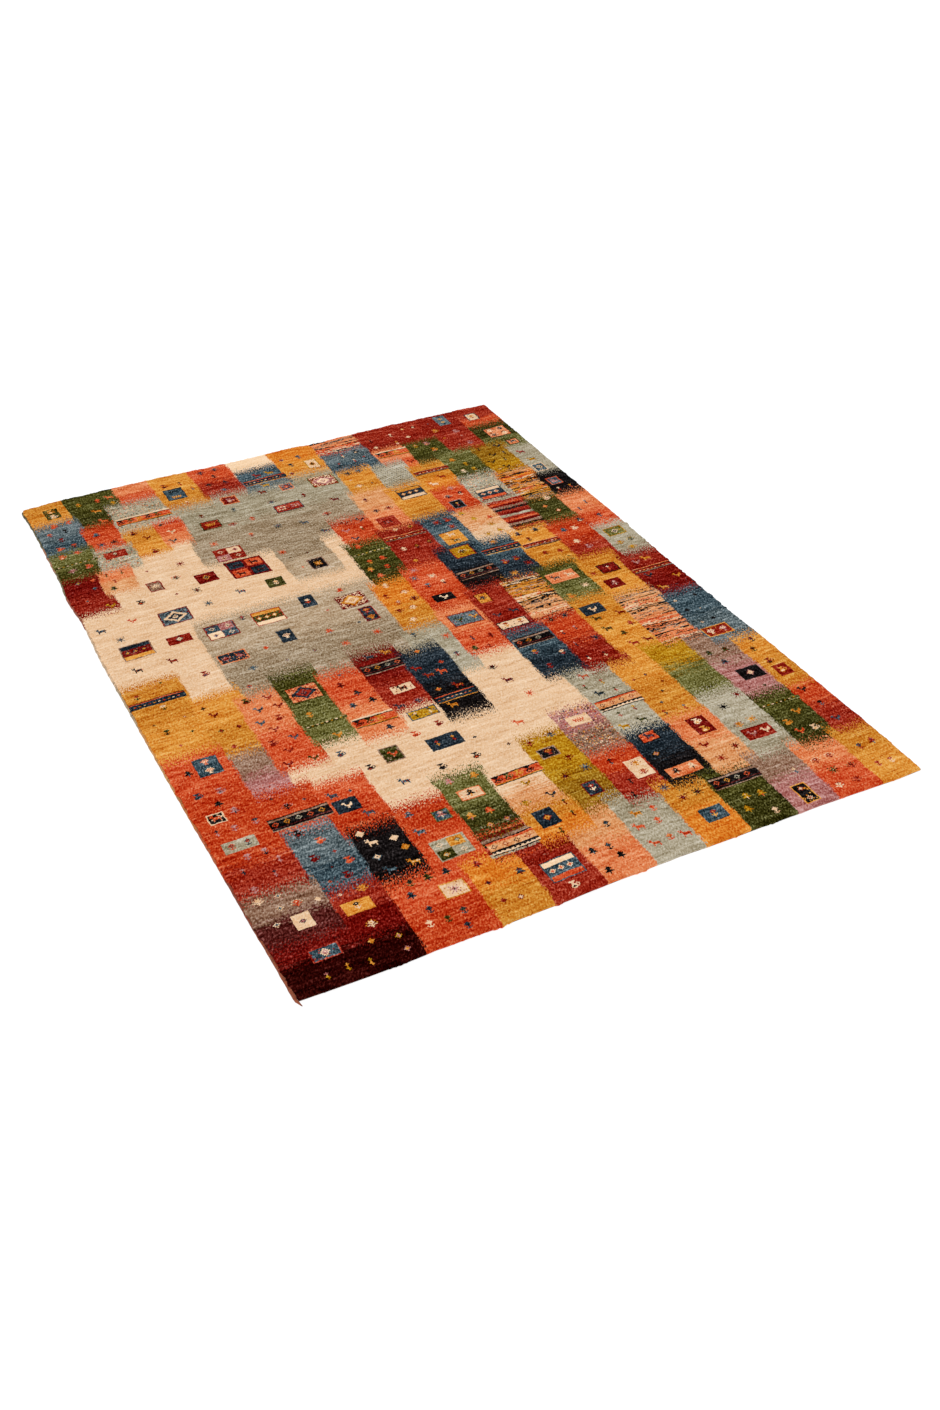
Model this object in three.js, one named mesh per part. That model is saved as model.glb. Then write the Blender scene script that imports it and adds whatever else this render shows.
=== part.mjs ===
// A hand-knotted gabbeh rug lying flat: a dense wool pile knotted into a woven foundation, with a cord
// of overcast wool along each long side. Millimetres, +Z up, the warp runs along Y and the wefts along X.
// The outline is slightly uneven, as a loom-made rug is, and both ends are turned under, so no fringe shows.
import * as THREE from "three";
import { mergeVertices } from "three/addons/utils/BufferGeometryUtils.js";

// Driving dimensions
const RUG_WIDTH = 1720;
const RUG_LENGTH = 2380;
const RUG_THICKNESS = 12;
const CORD_RADIUS = 3.5;
const SEAM_GAP = 0.3;
const WELD = 1e-4;

const PILE_HALF_WIDTH = RUG_WIDTH / 2 - 2 * CORD_RADIUS - SEAM_GAP;
const PILE_HALF_LENGTH = RUG_LENGTH / 2;

// How far each edge stands out of its straight line: at = distance along the edge, from its front or
// left corner, and out = distance outwards.
const LEFT_EDGE = [
  { at: 0, out: 0 },
  { at: 300, out: 5 },
  { at: 840, out: 9 },
  { at: 1400, out: 9 },
  { at: 1640, out: 2 },
  { at: 1780, out: 8 },
  { at: 1930, out: -1 },
  { at: 2250, out: -6 },
  { at: 2380, out: -2 },
];
const RIGHT_EDGE = [
  { at: 0, out: 4 },
  { at: 200, out: 6 },
  { at: 650, out: 3 },
  { at: 860, out: -4 },
  { at: 1100, out: -4 },
  { at: 1500, out: 0 },
  { at: 1790, out: -2 },
  { at: 2380, out: 0 },
];
const FRONT_EDGE = [
  { at: 0, out: -1 },
  { at: 160, out: 4 },
  { at: 520, out: 2 },
  { at: 960, out: -5 },
  { at: 1240, out: -2 },
  { at: 1500, out: 1 },
  { at: 1640, out: 7 },
  { at: 1720, out: 4 },
];
const BACK_EDGE = [
  { at: 0, out: -6 },
  { at: 130, out: 3 },
  { at: 400, out: 6 },
  { at: 740, out: -3 },
  { at: 920, out: 2 },
  { at: 1040, out: -5 },
  { at: 1230, out: 2 },
  { at: 1720, out: -2 },
];

// The pile's rim, from the underside up to the clipped top: inset from the foundation's edge, and height.
const RIM = [
  { inset: 0.8, height: 0 },
  { inset: 0, height: 0.8 },
  { inset: 0, height: 4 },
  { inset: -1.5, height: 8 },
  { inset: -1.1, height: 10.2 },
  { inset: 0.8, height: 11.6 },
  { inset: 3.5, height: RUG_THICKNESS },
];

// The clipped top is never quite level: long, low swells, in mm high and mm apart.
const SWELLS = [
  { high: 0.45, apartX: 610, apartY: 740, shiftX: 0.4, shiftY: 0.8 },
  { high: 0.3, apartX: 330, apartY: 410, shiftX: 1.9, shiftY: 3.8 },
  { high: 0.2, apartX: 1500, apartY: 190, shiftX: 3.1, shiftY: 6.2 },
];
const SWELL_FREE_RIM = 60;

// The cords have as many steps along as the pile, so that both follow the same line.
const STEPS_ACROSS = 28;
const STEPS_ALONG = 40;

// Height of an edge's bulge at a distance along it, eased between the rows of its table.
function edgeOut(edge, at) {
  const next = edge.findIndex((row) => row.at >= at);
  if (next === 0) return edge[0].out;
  if (next < 0) return edge[edge.length - 1].out;
  const low = edge[next - 1];
  const high = edge[next];
  const share = THREE.MathUtils.smoothstep(at, low.at, high.at);
  return THREE.MathUtils.lerp(low.out, high.out, share);
}

// Moves a point of the straight-edged rug to its place on the uneven one.
function onRug(x, y) {
  const across = x + RUG_WIDTH / 2;
  const along = y + RUG_LENGTH / 2;
  const sideways = THREE.MathUtils.lerp(
    -edgeOut(LEFT_EDGE, along),
    edgeOut(RIGHT_EDGE, along),
    across / RUG_WIDTH,
  );
  const endways = THREE.MathUtils.lerp(
    -edgeOut(FRONT_EDGE, across),
    edgeOut(BACK_EDGE, across),
    along / RUG_LENGTH,
  );
  return [x + sideways, y + endways];
}

function topHeight(x, y) {
  const toRim = Math.min(PILE_HALF_WIDTH - Math.abs(x), PILE_HALF_LENGTH - Math.abs(y));
  const calm = THREE.MathUtils.smoothstep(toRim, 0, SWELL_FREE_RIM);
  let swell = 0;
  for (const wave of SWELLS) {
    const phaseX = (2 * Math.PI * x) / wave.apartX + wave.shiftX;
    const phaseY = (2 * Math.PI * y) / wave.apartY + wave.shiftY;
    swell += wave.high * Math.sin(phaseX) * Math.cos(phaseY);
  }
  return RUG_THICKNESS + swell * calm;
}

function closedGeometry(points, triangles) {
  const geometry = new THREE.BufferGeometry();
  geometry.setAttribute("position", new THREE.Float32BufferAttribute(points.flat(), 3));
  geometry.setIndex(triangles.flat());
  const merged = mergeVertices(geometry, WELD);
  merged.computeVertexNormals();
  return merged;
}

// Shares from 0 to 1 round the rug's edge, counter-clockwise from the front left corner.
function edgeShares() {
  const shares = [];
  for (let i = 0; i < STEPS_ACROSS; i++) shares.push([i / STEPS_ACROSS, 0]);
  for (let j = 0; j < STEPS_ALONG; j++) shares.push([1, j / STEPS_ALONG]);
  for (let i = STEPS_ACROSS; i > 0; i--) shares.push([i / STEPS_ACROSS, 1]);
  for (let j = STEPS_ALONG; j > 0; j--) shares.push([0, j / STEPS_ALONG]);
  return shares;
}

// The knotted cloth: rings up its rim, closed by the flat underside and the clipped top.
function pileGeometry() {
  const points = [];
  const triangles = [];
  const spread = (shares, inset, height) => {
    const x = (2 * shares[0] - 1) * (PILE_HALF_WIDTH - inset);
    const y = (2 * shares[1] - 1) * (PILE_HALF_LENGTH - inset);
    return [...onRug(x, y), height ?? topHeight(x, y)];
  };

  const round = edgeShares();
  for (const { inset, height } of RIM) {
    for (const shares of round) points.push(spread(shares, inset, height));
  }
  for (let ring = 1; ring < RIM.length; ring++) {
    const lower = (ring - 1) * round.length;
    const upper = ring * round.length;
    for (let k = 0; k < round.length; k++) {
      const after = (k + 1) % round.length;
      triangles.push([lower + k, lower + after, upper + after]);
      triangles.push([lower + k, upper + after, upper + k]);
    }
  }

  const underside = round.map((_, k) => new THREE.Vector2(points[k][0], points[k][1]));
  for (const [a, b, c] of THREE.ShapeUtils.triangulateShape(underside, [])) {
    triangles.push([c, b, a]);
  }

  const topStart = points.length;
  const topInset = RIM[RIM.length - 1].inset;
  for (let j = 0; j <= STEPS_ALONG; j++) {
    for (let i = 0; i <= STEPS_ACROSS; i++) {
      const onRim = i === 0 || j === 0 || i === STEPS_ACROSS || j === STEPS_ALONG;
      const shares = [i / STEPS_ACROSS, j / STEPS_ALONG];
      points.push(spread(shares, topInset, onRim ? RUG_THICKNESS : undefined));
    }
  }
  for (let j = 0; j < STEPS_ALONG; j++) {
    for (let i = 0; i < STEPS_ACROSS; i++) {
      const a = topStart + j * (STEPS_ACROSS + 1) + i;
      const d = a + STEPS_ACROSS + 1;
      triangles.push([a, a + 1, d + 1]);
      triangles.push([a, d + 1, d]);
    }
  }
  return closedGeometry(points, triangles);
}

const CORD_SIDES = 8;
const CORD_LUMP = 0.2;
const CORD_LUMP_TURN = 2.4;
const CORD_END_SHARE = 0.85;
// The yarn end left at the front left corner: how far ahead of the cord, how far inwards, and its radius.
const YARN_END = [
  { ahead: 7, inwards: 1, radius: 2.3 },
  { ahead: 13, inwards: 3.2, radius: 1.4 },
  { ahead: 16, inwards: 5, radius: 0.9 },
];

// A cord of overcasting along one side, lying flat on the ground. side is -1 on the left and 1 on the
// right.
function cordGeometry(side, yarnEnd) {
  const front = -PILE_HALF_LENGTH;
  const stations = [];
  for (let k = 0; k <= STEPS_ALONG; k++) {
    const y = front + (k * RUG_LENGTH) / STEPS_ALONG;
    const lump = CORD_LUMP * (Math.sin(CORD_LUMP_TURN * k) - 1);
    const taper = k === 0 || k === STEPS_ALONG ? CORD_END_SHARE : 1;
    stations.push({ y, radius: (CORD_RADIUS + lump) * taper, lean: 0 });
  }
  for (const { ahead, inwards, radius } of yarnEnd) {
    stations.unshift({ y: front - ahead, radius, lean: -side * inwards });
  }

  const points = [];
  const triangles = [];
  const flatHeight = Math.cos(Math.PI / CORD_SIDES);
  for (const { y, radius, lean } of stations) {
    const [x, alongY] = onRug(side * (RUG_WIDTH / 2 - CORD_RADIUS) + lean, y);
    for (let k = 0; k < CORD_SIDES; k++) {
      const angle = ((2 * k + 1) * Math.PI) / CORD_SIDES;
      points.push([
        x + radius * Math.cos(angle),
        alongY,
        radius * (flatHeight + Math.sin(angle)),
      ]);
    }
  }
  for (let ring = 1; ring < stations.length; ring++) {
    const near = (ring - 1) * CORD_SIDES;
    const far = ring * CORD_SIDES;
    for (let k = 0; k < CORD_SIDES; k++) {
      const after = (k + 1) % CORD_SIDES;
      triangles.push([near + k, far + after, near + after]);
      triangles.push([near + k, far + k, far + after]);
    }
  }
  const lastRing = (stations.length - 1) * CORD_SIDES;
  for (let k = 1; k < CORD_SIDES - 1; k++) {
    triangles.push([0, k, k + 1]);
    triangles.push([lastRing, lastRing + k + 1, lastRing + k]);
  }
  return closedGeometry(points, triangles);
}

const pileWool = new THREE.MeshStandardMaterial({ color: 0xc08458, roughness: 0.95, metalness: 0 });
const cordWool = new THREE.MeshStandardMaterial({ color: 0xa9674a, roughness: 0.9, metalness: 0 });

function named(name, geometry, material) {
  const mesh = new THREE.Mesh(geometry, material);
  mesh.name = name;
  return mesh;
}

const rug = new THREE.Group();
rug.add(named("knotted_pile", pileGeometry(), pileWool));
rug.add(named("selvedge_left", cordGeometry(-1, YARN_END), cordWool));
rug.add(named("selvedge_right", cordGeometry(1, []), cordWool));

// The origin is under the middle of the rug's box, on the ground.
const box = new THREE.Box3().setFromObject(rug);
const centre = box.getCenter(new THREE.Vector3());
rug.position.set(-centre.x, -centre.y, -box.min.z);

export default rug;
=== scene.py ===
# The looks of a flat gabbeh rug: its clipped wool pile knot by knot, its woven back and its side cords.
from collections import namedtuple
from math import cos, pi, radians, sin, sqrt, tau

import bpy
import numpy as np
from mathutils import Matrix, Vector


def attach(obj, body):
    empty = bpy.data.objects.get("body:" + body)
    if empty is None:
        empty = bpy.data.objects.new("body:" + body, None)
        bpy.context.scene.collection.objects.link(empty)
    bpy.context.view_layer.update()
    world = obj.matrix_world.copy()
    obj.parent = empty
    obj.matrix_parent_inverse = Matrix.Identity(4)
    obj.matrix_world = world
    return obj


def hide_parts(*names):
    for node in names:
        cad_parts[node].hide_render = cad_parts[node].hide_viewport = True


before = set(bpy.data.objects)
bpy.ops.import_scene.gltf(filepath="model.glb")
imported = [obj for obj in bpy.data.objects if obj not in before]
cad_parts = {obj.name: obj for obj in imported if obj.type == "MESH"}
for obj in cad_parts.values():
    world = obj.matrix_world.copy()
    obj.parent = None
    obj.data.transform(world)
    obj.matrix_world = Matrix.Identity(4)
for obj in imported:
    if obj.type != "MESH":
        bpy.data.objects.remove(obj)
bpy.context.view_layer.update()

MM = 0.001
SEED = 41

# The rug's sizes in mm, as in the solids. FRAME_SHIFT is where its middle lies in the frame.
RUG_WIDTH = 1720
RUG_LENGTH = 2380
CORD_RADIUS = 3.5
SEAM_GAP = 0.3
FRAME_SHIFT = (1.56, 3.79)
HALF_WIDTH = RUG_WIDTH / 2 - 2 * CORD_RADIUS - SEAM_GAP
HALF_LENGTH = RUG_LENGTH / 2

# How far each edge stands out of its straight line: mm along it, mm outwards.
LEFT_EDGE = ((0, 0), (300, 5), (840, 9), (1400, 9), (1640, 2), (1780, 8), (1930, -1), (2250, -6), (2380, -2))
RIGHT_EDGE = ((0, 4), (200, 6), (650, 3), (860, -4), (1100, -4), (1500, 0), (1790, -2), (2380, 0))
FRONT_EDGE = ((0, -1), (160, 4), (520, 2), (960, -5), (1240, -2), (1500, 1), (1640, 7), (1720, 4))
BACK_EDGE = ((0, -6), (130, 3), (400, 6), (740, -3), (920, 2), (1040, -5), (1230, 2), (1720, -2))
# Small swings of two edges: mm outwards, mm apart, and their shifts in radians.
FRONT_SWINGS = ((0.75, 213, 0.7), (0.55, 97, 2.1), (0.3, 47, 4.0))
LEFT_SWINGS = ((0.45, 71, 1.3), (0.45, 43, 2.9), (0.3, 26, 0.2))
# The left ones grow from this share at the front to this share at the back.
LEFT_GROWTH = (0.4, 1.3)

# The pile's rim, from its top outwards and down: inset from the foundation's edge and height, in mm.
RIM = ((3.5, 12.0), (0.8, 11.6), (-1.1, 10.2), (-1.5, 8.0), (0.0, 4.0), (0.4, 2.4))
# At the two ends the pile hangs over the foundation's edge, nearly to the floor.
END_RIM = RIM[:4] + ((-0.8, 3.8), (-0.3, 0.9))
# Long swells of the clipped top: mm high, mm apart across and along, and their shifts in radians.
SWELLS = ((0.45, 610, 740, 0.4, 0.8), (0.3, 330, 410, 1.9, 3.8), (0.2, 1500, 190, 3.1, 6.2))
SWELL_FREE_RIM = 60

# One knot is about 3.4 mm square.
KNOTS_X = 500
KNOTS_Y = 698
KNOT = 3.4
PILE_BANDS = ("pile_front", "pile_near_middle", "pile_far_middle", "pile_back")


def table(text):
    """The rows of a table in words and whole numbers, without its remarks."""
    rows = [line.split() for line in text.splitlines() if line and not line.startswith("#")]
    return [[int(cell) if cell.isdigit() else cell for cell in row] for row in rows]


# Wool colours as they look in soft white light, in sRGB from 0 to 255
WOOL = {name: rgb for name, *rgb in table("""
cream 227 192 156
ivory 240 208 172
grey 160 140 114
ash 184 161 133
sage 167 156 132
pale 179 169 147
blue 66 84 92
denim 98 110 113
navy 38 48 56
ink 24 20 20
forest 64 61 23
green 76 73 28
moss 111 107 57
gold 201 132 47
ochre 215 146 61
orange 214 128 43
coral 205 87 48
rust 190 68 31
salmon 219 131 84
crimson 157 47 29
red 140 33 19
oxblood 116 18 12
maroon 46 6 4
aubergine 88 34 30
peach 216 154 104
lilac 178 120 114
mauve 151 118 97
lime 181 131 24
olive 150 106 24
""")}
WOOL_NAMES = list(WOOL)

# Fields, painted in this order: left, right, near and far side in mm from the pile's front left corner, the
# wool near and far, how deep the ends dissolve into the neighbours, and the weave
Field = namedtuple("Field", "left right near far near_wool far_wool depth weave", defaults=(120, "plain"))
FIELDS = [Field(*row) for row in table("""
0 1700 0 2376 cream cream 80
420 1010 1760 2180 grey sage 190
280 820 1060 1480 grey ash 180
640 790 1560 1800 ash grey
# the back left
0 130 2200 2376 ochre gold
130 300 2120 2376 forest green
0 130 2010 2240 blue denim
300 420 2240 2376 coral salmon
130 240 1980 2160 coral rust
240 420 2050 2260 pale sage 130 speckle
0 130 1850 2050 green moss
240 350 1900 2080 ochre gold 110
130 240 1860 2010 pale sage 110 speckle
0 110 1660 1880 red oxblood
110 200 1740 1880 peach salmon 110
350 430 1930 2090 salmon coral 110
# the back
420 560 2150 2376 gold ochre 130
560 700 2170 2376 crimson coral 130
700 850 2250 2376 cream ivory 60
700 850 2150 2300 denim blue 130
850 1010 2180 2376 ochre orange
1010 1180 2250 2376 coral salmon 60 tweed
1010 1180 2110 2280 blue denim 130
1180 1420 2190 2376 red crimson 60
1420 1570 2080 2376 crimson red 110
1570 1700 2200 2376 coral crimson 110
# the right, towards the back
1010 1130 1950 2140 gold ochre
1180 1300 2020 2220 coral salmon
1300 1420 2010 2220 forest green
1570 1700 2000 2240 moss forest
1130 1240 1880 2120 sage pale 120 hatch
1240 1370 1840 2060 orange gold
1370 1500 1880 2100 green moss
1500 1620 1830 2090 lime olive
1620 1700 1800 2040 pale sage
860 990 1640 1830 coral rust 130
990 1110 1700 1980 salmon peach
1110 1240 1700 1960 gold ochre
1240 1360 1660 1880 rust coral
1360 1490 1700 1910 sage pale 120 speckle
1490 1610 1650 1890 gold orange 120 tweed
1610 1700 1610 1830 ink ink
1110 1240 1500 1730 denim blue
1240 1370 1460 1710 cream peach
1370 1490 1500 1730 oxblood crimson 110 stripe
1490 1600 1450 1680 green forest
1600 1700 1400 1660 coral salmon
# the right, in the middle
840 970 1390 1680 forest green 130
970 1110 1440 1720 crimson red
820 940 1130 1430 gold orange 130
940 1080 1180 1470 rust coral 130
1080 1210 1240 1530 ink navy 140
1210 1340 1230 1510 navy blue 130
1340 1470 1270 1520 gold ochre 130
1470 1600 1230 1510 crimson rust
1600 1700 1180 1430 sage pale
800 930 900 1160 pale sage 130
930 1060 960 1210 coral salmon 130
1060 1180 990 1270 red crimson 130
1180 1310 1010 1260 peach gold 130 tweed
1310 1440 1050 1290 moss green
1440 1570 1010 1280 ochre gold
1570 1700 960 1240 oxblood red
# the left, in the middle
0 150 860 1260 ochre gold 130
150 280 820 1130 gold ochre 130
150 260 640 850 lilac mauve 130
260 380 720 1070 coral salmon 130
380 500 780 1130 moss green 130
500 620 740 1070 salmon coral 130
620 740 820 1120 crimson oxblood 130
740 860 720 1070 ink navy 140
# the front left
0 150 560 900 rust coral 130
150 300 480 670 coral rust 130
0 170 290 600 crimson rust
170 310 230 510 blue denim 130
0 310 0 200 maroon oxblood
170 310 110 270 oxblood crimson
0 170 150 330 aubergine mauve 110
# the front
300 430 420 640 rust coral 130
310 440 200 440 ink ink 130
440 580 180 470 coral rust 140
580 710 240 520 forest moss 140
710 850 270 500 peach cream 130
850 980 200 560 olive lime 150
310 500 0 230 rust coral
500 640 0 210 gold orange
640 780 0 230 crimson red
580 710 180 280 ink olive 120 stripe
780 920 0 230 salmon peach
710 850 180 310 orange gold
# the front right
920 1060 0 250 pale sage
980 1110 210 440 crimson rust 130
980 1110 420 620 mauve lilac 120 speckle
1060 1190 0 240 orange gold 130
1110 1240 210 480 ink navy 140
1110 1240 460 760 pale sage 130
1190 1330 0 230 forest green
1240 1370 200 480 peach salmon 130
1240 1370 460 800 gold ochre 130
1330 1460 0 240 lilac mauve
1370 1500 210 530 sage pale 130
1370 1500 510 800 moss lime 130
1460 1590 0 220 coral salmon
1500 1620 200 470 forest green 130
1500 1620 450 770 lilac mauve
1590 1700 0 230 ochre gold 110
1620 1700 210 460 crimson rust
1620 1700 440 720 gold ochre
1180 1310 740 1040 red rust 130
1310 1440 780 1080 ochre gold
1440 1570 760 1040 salmon peach 130 tweed
1570 1700 700 990 denim blue
1060 1180 760 1020 navy blue 140
""")]

# Wools of each mixed weave
TWEED = "ink cream coral ink peach mauve ink".split()
STRIPES = "crimson ink mauve oxblood coral crimson sage oxblood".split()
SPECKS = "navy coral ochre ivory forest".split()

# Small traditional motifs, knot by knot and far row first: # is the first wool, o the second.
CHARTS = {name: rows for name, *rows in table("""
goat #.#...... .##...... ###...... ..######. ..#o##o#o ..######. ..#....#. ..#....#.
bird ..##..... .###....# ...#...## ...##o### ....####. .....#... ....##...
tree ....#.... ...###... ..##o##.. ...###... ..#####.. .###o###. ....o.... ....o....
sprig ...o.o... .o.###.o. ..##o##.. o..###..o .##.#.##. ...###... ....#....
leaf ...#... ..#o#.. .#o#o#. ..#o#.. ...#... .#.#.#. ..###..
flower ..ooo.. .oo#oo. ..ooo.. ...#... .#.#.#. ..###.. ...#...
bud ..o.. .ooo. ..o.. ..#.. .##.. ..##. ..#..
comb #.#.#.#.# #.#.#.#.# ######### .#.#.#.#. .#.#.#.#.
diamond ...#... ..#o#.. .#ooo#. #oo#oo# .#ooo#. ..#o#.. ...#...
lozenge ..#.. .#o#. #ooo# .#o#. ..#..
star #..#..# .#.#.#. ..###.. ###o### ..###.. .#.#.#. #..#..#
shrub ..#.#.. .#o#o#. #o#o#o# .#o#o#. ..###.. ...#... ..###..
squares ##.##.## ##.oo.## ........ ##.oo.## ##.##.##
jug #####.. .###... ..#..#. .####.# ##o##.# #ooo##. .###...
dot .#. #o# .#.
dash ##
""")}
CHART_ROOM = 11

# What fills the boxes laid on the fields
BOX_CONTENTS = (
    "goat flower diamond sprig bird star medallion tree quarters bands "
    "lozenge leaf shrub squares comb bud panes jug"
).split()
BOX_WOOLS = (
    "crimson ink gold blue forest coral cream lime mauve sage "
    "salmon navy moss ochre red oxblood denim"
).split()
INKS = "ink cream gold crimson navy coral ivory forest ochre red lilac".split()
FIELD_INKS = "ink gold crimson navy forest red blue lime oxblood coral lilac cream".split()
SMALL_MOTIFS = "bud sprig lozenge flower goat bird leaf dot jug tree star".split()
DARK_FIELD_MOTIFS = "lozenge diamond goat bud".split()

# Ribbons across fields: left, right and near side in mm, and which ribbon
RIBBONS = table("""
380 500 860 meadow
500 620 800 garden
620 740 1010 night
740 860 800 river
1110 1240 560 road
1080 1210 1330 night
840 970 1600 meadow
970 1110 1640 ember
1210 1340 1420 river
1340 1470 1400 ember
1240 1370 1990 ember
1180 1300 2160 garden
700 850 2190 river
0 130 1960 meadow
580 710 196 road
150 310 520 night
0 150 1150 river
710 850 420 garden
1500 1620 380 meadow
1190 1330 150 night
1060 1180 930 night
1570 1700 1120 ember
240 420 2120 garden
""")
# The bands of each ribbon, near one first: rows of knots, wool, and perhaps a motif and its wools
RIBBON_BANDS = table("""
night 1 mauve
night 2 ink
night 1 aubergine
night 7 ink lozenge coral gold sage
night 2 mauve
night 1 ink
garden 1 ink
garden 1 gold
garden 8 coral jug ink forest gold
garden 1 ink
garden 2 cream
river 1 gold
river 7 navy dash coral gold cream
river 1 coral
river 1 ink
road 1 ink
road 2 cream dash ink
road 2 ink
road 7 peach lozenge ink red
road 2 coral
road 1 ink
meadow 1 moss
meadow 2 forest dash cream lime
meadow 1 moss
ember 1 ink
ember 1 mauve
ember 2 oxblood dash gold cream
ember 2 crimson
ember 1 ink
ember 1 salmon
""")


# Noise over the grid of knots, near row first

rng = np.random.default_rng(SEED)
normal = rng.standard_normal
GRID = (KNOTS_Y, KNOTS_X)


def averaged(noise, count, axis):
    """The running mean of count neighbours, wrapping round, at unit spread."""
    total = sum(np.roll(noise, step, axis) for step in range(count))
    return total / sqrt(count)


def ranked(noise):
    """The same pattern with its values spread evenly from 0 to 1."""
    order = np.empty(noise.size)
    order[np.argsort(noise, axis=None)] = np.arange(noise.size)
    return (order / noise.size).reshape(noise.shape)


def eased(x):
    x = np.clip(x, 0, 1)
    return x * x * (3 - 2 * x)


# Long streaks along the wefts, and a number of its own for each knot
STREAK_RUN = 18
streaks = ranked(averaged(normal(GRID), STREAK_RUN, 1))
picks = rng.random(GRID)


# The pattern: one wool number for each knot

def linear(rgb):
    """An sRGB colour, from 0 to 255, as linear light."""
    c = np.array(rgb, float) / 255
    return np.where(c <= 0.04045, c / 12.92, ((c + 0.055) / 1.055) ** 2.4)


wool_table = np.array([linear(WOOL[name]) for name in WOOL_NAMES])
pattern = np.zeros(GRID, int)


def wool(name):
    return WOOL_NAMES.index(name)


def knots(mm):
    return int(round(mm / KNOT))


# A field's sides step after so many rows, and neighbours lap by so many knots.
EDGE_RUN = 5
LAP = 2
# Where fields dissolve into each other, the mix thins quickly and has a long tail.
FADE_CURVE = 1.9
# How softly the two wools of a field blend, from which share of its length, and over which
BLEND_SOFTNESS = 0.7
BLEND_FROM = 0.1
BLEND_OVER = 0.8
# The share of knots in other wools in each mixed weave, and the rows of a thin stripe
SPECK_SHARE = 0.16
TWEED_SHARE = 0.5
STRIPE_SHARE = 0.9
STRIPE_ROWS = 4
HATCH_APART = 5


def wandering_edge(column, rows):
    """A field's side: it steps by a knot now and then, as woven borders do."""
    steps = np.repeat(rng.choice((-1, 0, 0, 1), rows // EDGE_RUN + 1), EDGE_RUN)
    return column + steps[:rows]


def number_fields():
    """Which field each knot lies in, before the fields' ends dissolve."""
    numbers = np.zeros(GRID, int)
    for number, field in enumerate(FIELDS):
        left, right = knots(field.left), knots(field.right)
        rows = slice(knots(field.near), min(knots(field.far), KNOTS_Y))
        cols = slice(max(left - LAP - 1, 0), min(right + LAP + 1, KNOTS_X))
        depth = rows.stop - rows.start
        column = np.arange(cols.start, cols.stop)[None, :]
        inside = np.ones((depth, cols.stop - cols.start), bool)
        if left > 0:
            inside &= column >= wandering_edge(left - LAP, depth)[:, None]
        if right < KNOTS_X:
            inside &= column < wandering_edge(right + LAP, depth)[:, None]
        numbers[rows, cols][inside] = number
    return numbers


def to_next_field(numbers):
    """How many rows on the next field along each column starts, and which one it is."""
    rows_to = np.full(GRID, KNOTS_Y)
    other = numbers.copy()
    for j in range(KNOTS_Y - 2, -1, -1):
        change = numbers[j] != numbers[j + 1]
        rows_to[j] = np.where(change, 0, rows_to[j + 1] + 1)
        other[j] = np.where(change, numbers[j + 1], other[j + 1])
    return rows_to, other


def dissolve_ends(numbers):
    """The field each knot dissolves into, and its share: a half where the two meet."""
    depths = np.array([knots(field.depth) for field in FIELDS])
    far_rows, far_field = to_next_field(numbers)
    near_rows, near_field = (rows[::-1] for rows in to_next_field(numbers[::-1]))
    rows = np.minimum(near_rows, far_rows)
    other = np.where(near_rows < far_rows, near_field, far_field)
    reach = (depths[numbers] + depths[other]) / 4
    return other, 0.5 * np.clip(1 - (rows + 0.5) / reach, 0, 1) ** FADE_CURVE


def field_cloth(field, j, i):
    """The wool of one field at each of the given knots, and its colour."""
    near, far = wool(field.near_wool), wool(field.far_wool)
    place = ((j + 0.5) * KNOT - field.near) / (field.far - field.near)
    turn = eased((place - BLEND_FROM) / BLEND_OVER)
    drawn, pick = streaks[j, i], picks[j, i]
    blend = eased((turn * (1 + BLEND_SOFTNESS) - 0.5 * drawn - 0.5 * pick) / BLEND_SOFTNESS)
    cloth = np.where(blend > 0.5, far, near)
    colours = wool_table[near] * (1 - blend[:, None]) + wool_table[far] * blend[:, None]
    if field.weave == "speckle":
        yarn, here = SPECKS, pick < SPECK_SHARE
        turns = (pick * 1000).astype(int)
    elif field.weave == "tweed":
        yarn, here = TWEED, drawn < TWEED_SHARE
        turns = j // STRIPE_ROWS + (drawn * STRIPE_ROWS).astype(int)
    elif field.weave == "stripe":
        yarn, here = STRIPES, pick < STRIPE_SHARE
        turns = j // STRIPE_ROWS
    elif field.weave == "hatch":
        yarn, here = ("navy",), ((i + 2 * j) % HATCH_APART == 0) & (i % 2 == j % 2)
        turns = j
    else:
        return cloth, colours
    woven = np.array([wool(name) for name in yarn])[turns % len(yarn)]
    cloth[here] = woven[here]
    colours[here] = wool_table[woven[here]]
    return cloth, colours


def paint_fields(numbers):
    """The pattern, the fields' colours, and the colours and shares of what they dissolve into."""
    other, share = dissolve_ends(numbers)
    colours, next_colours = np.zeros(GRID + (3,)), np.zeros(GRID + (3,))
    for number, field in enumerate(FIELDS):
        j, i = np.nonzero(numbers == number)
        pattern[j, i], colours[j, i] = field_cloth(field, j, i)
        j, i = np.nonzero(other == number)
        _, next_colours[j, i] = field_cloth(field, j, i)
    return colours, next_colours, share


def paint_chart(chart, row, col, first, second):
    """Knots a charted motif with its middle at a knot of the grid."""
    rows = CHARTS[chart]
    top = row + len(rows) // 2
    left = col - len(rows[0]) // 2
    for down, line in enumerate(rows):
        for across, mark in enumerate(line):
            j, i = top - down, left + across
            if mark != "." and 0 <= j < KNOTS_Y and 0 <= i < KNOTS_X:
                pattern[j, i] = wool(first if mark == "#" else second)


def paint_rect(row, col, depth, width, name):
    pattern[max(row, 0):row + depth, max(col, 0):col + width] = wool(name)


MEDALLION_REACHES = (0.95, 0.62, 0.3)


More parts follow.
